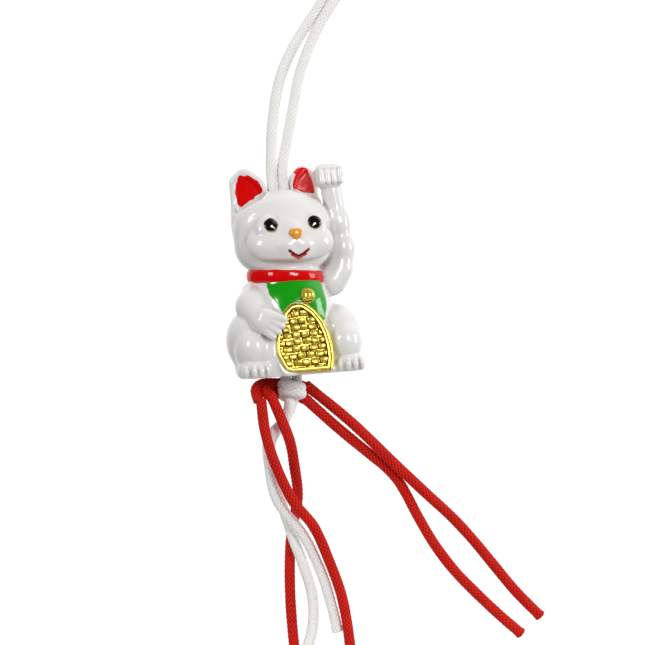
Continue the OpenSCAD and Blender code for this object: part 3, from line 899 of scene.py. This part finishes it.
def fitted(made, points, material, node, shape=cat_shape, reach=1.5):
    """Gives a sculpted piece its painted crease shade and finish, and puts it in its node's place on the
    figurine.
    """
    mark_crease_shade(made, points, shape, reach)
    made.data.materials.append(material)
    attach(made, "figurine")
    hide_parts(node)


# The white's second, browner colour is painted shade for its creases.
white_enamel = enamel_material(
    "white_enamel", (0.8, 0.79, 0.775), (0.42, 0.36, 0.32), crease_shade=0.55, cloud=0.08, Coat_Weight=0.6,
)
for name, keep, node, low_y, high_y in (
    ("front_moulding", 1, "front_shell", -16, 0.8),
    ("back_moulding", -1, "back_shell", -0.8, 12.6),
):
    made, points = sculpted(
        name, lambda at: cut(moulding_shape(at), keep * at[1], SEAM_ROUND),
        (-15, low_y, -0.8), (15.5, high_y, 45), BODY_STEP,
    )
    fitted(made, points, white_enamel, node)

# ---------------------------------------------------------------- ear paint
# The insides of the ears are brushed on by hand in thick red gloss enamel over the white, so each field
# stands a little proud and its edge wanders where the brush left it.

PAINT_PROUD = 0.13
PAINT_SUNK = 0.4


def wandering(at, size, amount, seed):
    """A smooth uneven value in space, for edges that a brush has left."""
    draw = np.random.default_rng(seed)
    value = 0
    for octave in range(3):
        way = draw.normal(size=(3, 3)) * (2**octave) * 2 * math.pi / size / 1.7
        for row, shift in zip(way, draw.uniform(0, 6.28, 3)):
            wave = np.sin(at[0] * row[0] + at[1] * row[1] + at[2] * row[2] + shift)
            value = value + wave / (3 * 1.6**octave)
    return amount * value


def paint_layer(name, region, low, high, step, proud=PAINT_PROUD, skin=cat_shape):
    """A thin layer of paint on the skin, where a region's value is below 0."""
    def layer(at):
        thickness = np.abs(skin(at) - (proud - PAINT_SUNK) / 2) - (proud + PAINT_SUNK) / 2
        return cut(region(at), thickness, 0.12)
    return sculpted(name, layer, low, high, step, 1)


# The red's dark second colour is painted shade for its creases, as on the collar under the chin.
red_enamel = enamel_material(
    "red_enamel", (0.74, 0.001, 0.001), (0.3, 0.0, 0.001), crease_shade=0.4, cloud=0.2, peel=0.0001,
    Roughness=0.18, Coat_Weight=0.5, Specular_IOR_Level=0.2,
)
EAR_FIELDS = {
    -1: [(-2.3, 38.9), (1.9, 36.3), (2.3, 38.6), (1.6, 41.3), (0, 41.3), (-1.5, 40.3)],
    1: [(-2.4, 39.3), (2.3, 38.1), (1.8, 40.6), (0.9, 42.3), (0.2, 42.4), (-1.0, 41.7)],
}
for hand, name, node, box in (
    (-1, "right_ear_paint", "right_ear_enamel", ((-9.6, -2.5, 35), (-1.8, 4, 43.6))),
    (1, "left_ear_paint", "left_ear_enamel", ((1.8, -2.5, 35), (9.6, 4, 43.8))),
):
    def ear_field(at, corners=EAR_FIELDS[hand], seed=4 + hand):
        out, behind = ear_place(at[0], at[1])
        edge = outline(out, at[2], corners, 0.7) + wandering(at, 2.2, 0.14, seed)
        return np.maximum(edge, np.abs(behind + EAR_HALF) - EAR_HALF)
    made, points = paint_layer(name, ear_field, *box, 0.12)
    fitted(made, points, red_enamel, node)

# ---------------------------------------------------------------- eyes
# Each eye is a thin olive ring of enamel, seen round a thicker dot of black enamel that has dried domed and
# so catches the light. Both are dabbed on by hand over the white.

EYE_X, EYE_Z = 4.65, 31.3
RING_R, PUPIL_R = 1.5, 1.32
PUPIL_DOME = 0.32
# Its second colour is painted shade for creases.
black_enamel = enamel_material(
    "black_enamel", (0.006, 0.005, 0.005), (0.003, 0.003, 0.003), crease_shade=0.3, cloud=0.1, peel=0.00003,
    Roughness=0.1, Coat_Weight=1.0,
)
# Its second colour is painted shade for creases.
olive_enamel = enamel_material("olive_enamel", (0.5, 0.44, 0.15), (0.2, 0.14, 0.03), crease_shade=0.3, cloud=0.6)
for hand, which in ((-1, "right"), (1, "left")):
    middle = hand * EYE_X

    def iris(at, middle=middle, hand=hand):
        edge = np.hypot(at[0] - middle - 0.08, at[2] - EYE_Z + 0.1) - RING_R
        return np.maximum(edge + wandering(at, 1.6, 0.1, 11 + hand), at[1] + 6)

    def pupil(at, middle=middle, hand=hand):
        edge = np.hypot((at[0] - middle) / 1.02, at[2] - EYE_Z) - PUPIL_R
        return np.maximum(edge + wandering(at, 1.8, 0.05, 21 + hand), at[1] + 6)

    def domed_skin(at, middle=middle):
        near = np.hypot(at[0] - middle, at[2] - EYE_Z) / 1.6
        return cat_shape(at) - PUPIL_DOME * np.clip(1 - near**2, 0, 1)

    low, high = (middle - 2.1, -11.6, EYE_Z - 2.1), (middle + 2.1, -8.2, EYE_Z + 2.1)
    made, points = paint_layer(which + "_iris_paint", iris, low, high, 0.09, 0.07)
    fitted(made, points, olive_enamel, which + "_eye_ring")
    made, points = paint_layer(which + "_pupil_paint", pupil, low, high, 0.09, 0.14, domed_skin)
    fitted(made, points, black_enamel, which + "_pupil")

# ---------------------------------------------------------------- nose
# A small three-cornered button in the middle of the muzzle, moulded with the face, and coated thickly by
# hand in orange gloss enamel.

# Its second colour is painted shade for creases.
orange_enamel = enamel_material(
    "orange_enamel", (0.86, 0.36, 0.035), (0.6, 0.16, 0.01), crease_shade=0.4, cloud=0.35, Coat_Weight=0.8,
)
NOSE_MIDDLE = (0.1, -11.55, 29.1)


def nose_shape(at):
    """A rounded three-cornered button, wide above and pointed below."""
    flat = outline(at[0] - NOSE_MIDDLE[0], at[2], [(-0.65, 29.4), (0.05, 28.6), (0.65, 29.4)], 0.88)
    button = ellipsoid(at, NOSE_MIDDLE, (1.7, 1.05, 1.6))
    return cut(flat, button, 0.5)


made, points = sculpted("nose_paint", nose_shape, (-1.9, -12.9, 27.3), (2.1, -10.5, 30.8), 0.09, 1)
fitted(made, points, orange_enamel, "nose")

# ---------------------------------------------------------------- mouth
# The smile is one fine brush stroke of dark red enamel, and the lower lip a shorter stroke of thinner red
# enamel laid just under it, so a little white shows through.

MOUTH_LINE = [(-1.55, 25.75), (-0.6, 24.95), (0.4, 24.5), (1.5, 25.0), (2.6, 25.75)]
LIP_LINE = [(-0.9, 24.85), (-0.1, 24.35), (0.4, 24.1), (1.0, 24.3), (1.9, 24.9)]


def line_gap(at, line):
    """Distance in the front view from a line drawn through points."""
    gap = np.full(np.shape(at[0]), 99.0)
    for (ax, az), (bx, bz) in zip(line, line[1:]):
        dx, dz = bx - ax, bz - az
        share = np.clip(((at[0] - ax) * dx + (at[2] - az) * dz) / (dx * dx + dz * dz), 0, 1)
        gap = np.minimum(gap, np.hypot(at[0] - ax - share * dx, at[2] - az - share * dz))
    return gap


def stroke(line, half, size, amount, seed):
    """The field of one brush stroke on the face, along a line."""
    return lambda at: np.maximum(line_gap(at, line) - half + wandering(at, size, amount, seed), at[1] + 8)


# Its second colour is painted shade for creases.
dark_red_enamel = enamel_material(
    "dark_red_enamel", (0.2, 0.004, 0.006), (0.09, 0.0, 0.0), crease_shade=0.4, cloud=0.3,
)
# Its second colour is painted shade for creases.
lip_enamel = enamel_material("lip_enamel", (0.72, 0.05, 0.035), (0.4, 0.01, 0.01), crease_shade=0.4, cloud=0.5)
MOUTH_BOX = ((-2.2, -13, 23.2), (3.3, -9, 26.5))
made, points = paint_layer("lip_paint", stroke(LIP_LINE, 0.3, 1.0, 0.06, 31), *MOUTH_BOX, 0.08, 0.08)
fitted(made, points, lip_enamel, "lower_lip")
made, points = paint_layer("mouth_paint", stroke(MOUTH_LINE, 0.28, 1.2, 0.04, 32), *MOUTH_BOX, 0.08, 0.12)
fitted(made, points, dark_red_enamel, "mouth")

# ---------------------------------------------------------------- collar
# A flat band moulded round the neck, brushed with the same red gloss enamel as the ears, thick enough to
# round its edges.

COLLAR_MIDDLE = (0, -1.15, 20.3)
COLLAR_HALF = (8.15, 8.0, 1.45)
COLLAR_TILT = -0.08


def collar_shape(at):
    """A flat raised band round the neck, a little lower on the cat's left side."""
    x, y, z = at
    level = z - COLLAR_MIDDLE[2] - COLLAR_TILT * x
    ring = ellipsoid((x, y, z * 0), (0, COLLAR_MIDDLE[1], 0), (*COLLAR_HALF[:2], 50))
    ring = ring + wandering(at, 3.5, 0.05, 41) + 0.3 * (level / COLLAR_HALF[2])**2
    height = np.abs(level) - COLLAR_HALF[2] + wandering(at, 4, 0.06, 42)
    return cut(cut(ring, height, 0.55), -1.3 - ring, 0.2)


made, points = sculpted("collar_paint", collar_shape, (-8.8, -9.6, 17.6), (8.8, 7.4, 23), 0.2, 1)
fitted(made, points, red_enamel, "collar")

# ---------------------------------------------------------------- bib
# The bib below the collar is brushed on the chest in thick green gloss enamel, and stops where the coin
# leans against it.

BIB_CORNERS = [
    (-3.9, 20.2), (-4.0, 17.6), (-1.8, 13.2), (1, 11.5), (4.4, 12.0), (5.1, 14.3), (4.6, 18.5), (4.5, 20.2),
]
# Its second colour is painted shade for creases.
green_enamel = enamel_material(
    "green_enamel", (0.006, 0.38, 0.003), (0.002, 0.16, 0.002), crease_shade=0.4, cloud=0.3, peel=0.00007,
    Roughness=0.2, Coat_Weight=0.8,
)
made, points = paint_layer(
    "bib_paint",
    lambda at: np.maximum(
        outline(at[0], at[2], BIB_CORNERS, 1.5) + wandering(at, 3, 0.12, 51),
        np.maximum(at[1] + 5, 0.1 - coin_outline(*coin_place(at)[::2])),
    ),
    (-6.6, -13.2, 9.6), (7.4, -6, 21), 0.16, 0.2,
)
fitted(made, points, green_enamel, "bib")

# ---------------------------------------------------------------- bell
# A small round jingle bell with a lug at one side, moulded on the chest with the front half and covered
# in gold paint, with painted shade darkening it in the creases.

BELL_MIDDLE = (1.95, -11.2, 16.2)
BELL_R = 1.45


def bell_shape(at):
    """A ball with a belt round it and a slot below, and its lug."""
    x, y, z = (a - c for a, c in zip(at, BELL_MIDDLE))
    ball = ellipsoid(at, BELL_MIDDLE, (BELL_R * 0.97, BELL_R, BELL_R * 1.08))
    belt = np.maximum(np.hypot(np.hypot(x, y) - BELL_R * 0.97, z + 0.2) - 0.1, 0) - 0.02
    ball = join(ball, belt, 0.15)
    slot = np.hypot(np.maximum(np.abs(x + 0.1) - 0.6, 0), z + 1.1) - 0.1
    ball = cut(ball, -np.maximum(slot, y), 0.12)
    lug = join(
        limb(at, (0.95, -11.1, 16.9), (1.4, -11.2, 17.4), 0.5, 0.45),
        limb(at, (0.9, -11.0, 16.2), (1.3, -11.2, 16.9), 0.42, 0.5), 0.2,
    )
    return join(ball, lug, 0.18)


# The gold's near-black second colour is painted shade, laid on deep in the creases and between the coin's
# bars.
gold_paint = enamel_material(
    "gold_paint", (1.0, 0.77, 0.12), (0.15, 0.05, 0.002), crease_shade=0.95, cloud=0.15, peel=0.00005,
    peel_size=1400, Metallic=0.72, Roughness=0.27, Coat_Weight=0.05, Coat_Roughness=0.08,
    Specular_IOR_Level=0.3,
)
made, points = sculpted("jingle_bell", bell_shape, (-0.2, -13.2, 14.1), (4, -9.2, 18.4), 0.09, 1)
fitted(made, points, gold_paint, "bell", bell_shape, 0.5)

# ---------------------------------------------------------------- coin
# The oval gold coin leans on the chest: a thick plate with a sloped border, a thin raised ring inside a
# sharp crevice, and cushion-shaped bars in rows. It is moulded with the front half and painted gold.

BAR_PITCH = (1.86, 1.44)
BAR_HALF = (0.8, 0.56)
BARS_TURN = 2.5


def coin_shape(at):
    """The coin: its plate, border and ring, and the field of bars, no two quite alike."""
    across, ahead, high = coin_place(at)
    body = cut(coin_outline(across, high), np.maximum(ahead - 1.75, -0.6 - ahead), 0.5)
    plate = coin_outline(across + 0.42, high + 0.1) + 0.45
    crevice = np.exp(-((plate - 0.05) / 0.13)**2)
    body = body + 0.35 * crevice * np.clip((ahead - 1.2) / 0.3, 0, 1)
    ring = cut(plate, ahead - 2.3, 0.3)
    field = plate + 0.62
    ring = cut(ring, -cut(field, 1.2 - ahead, 0.25), 0.2)
    body = cut(body, -cut(field, 1.2 - ahead, 0.25), 0.2)
    u, v = turned(across, high, BARS_TURN)
    row = np.floor(v / BAR_PITCH[1])
    shift = 0.275 * BAR_PITCH[0] * (row % 2) + 0.3 * np.sin(row * 2.3)
    column = np.floor((u + shift) / BAR_PITCH[0])
    jitter_u = 0.08 * np.sin(row * 5.1 + column * 3.7)
    jitter_v = 0.07 * np.sin(row * 3.3 + column * 7.9 + 1)
    du = (u + shift) - (column + 0.5) * BAR_PITCH[0] - jitter_u
    dv = v - (row + 0.5) * BAR_PITCH[1] - jitter_v
    grow = 0.06 * np.sin(row * 7.7 + column * 2.9 + 2)
    tall = 2.15 + 0.08 * np.sin(row * 4.1 + column * 5.3)
    bars = np.hypot(np.maximum(np.abs(du) - 0.59 - grow, 0), np.maximum(np.abs(dv) - 0.34, 0)) - 0.26
    tilt = 0.13 * np.sin(row * 2.7 + column * 4.3) * du + 0.16 * np.sin(row * 6.1 + column * 1.7) * dv
    dome = 0.07 * (du / BAR_HALF[0])**2 + 0.08 * (dv / BAR_HALF[1])**2
    pillow = cut(bars, ahead - tall + tilt + dome, 0.4)
    pillow = np.maximum(pillow, 0.8 - ahead)
    pillow = cut(pillow, field + 0.08, 0.1)
    return cut(join(join(body, ring, 0.12), pillow, 0.08), -high, 0.3)


made, points = sculpted("gold_coin", coin_shape, (-6.9, -14.4, 0), (7, -8.4, 15.4), 0.11, 1)
fitted(made, points, gold_paint, "coin", coin_shape, 0.5)
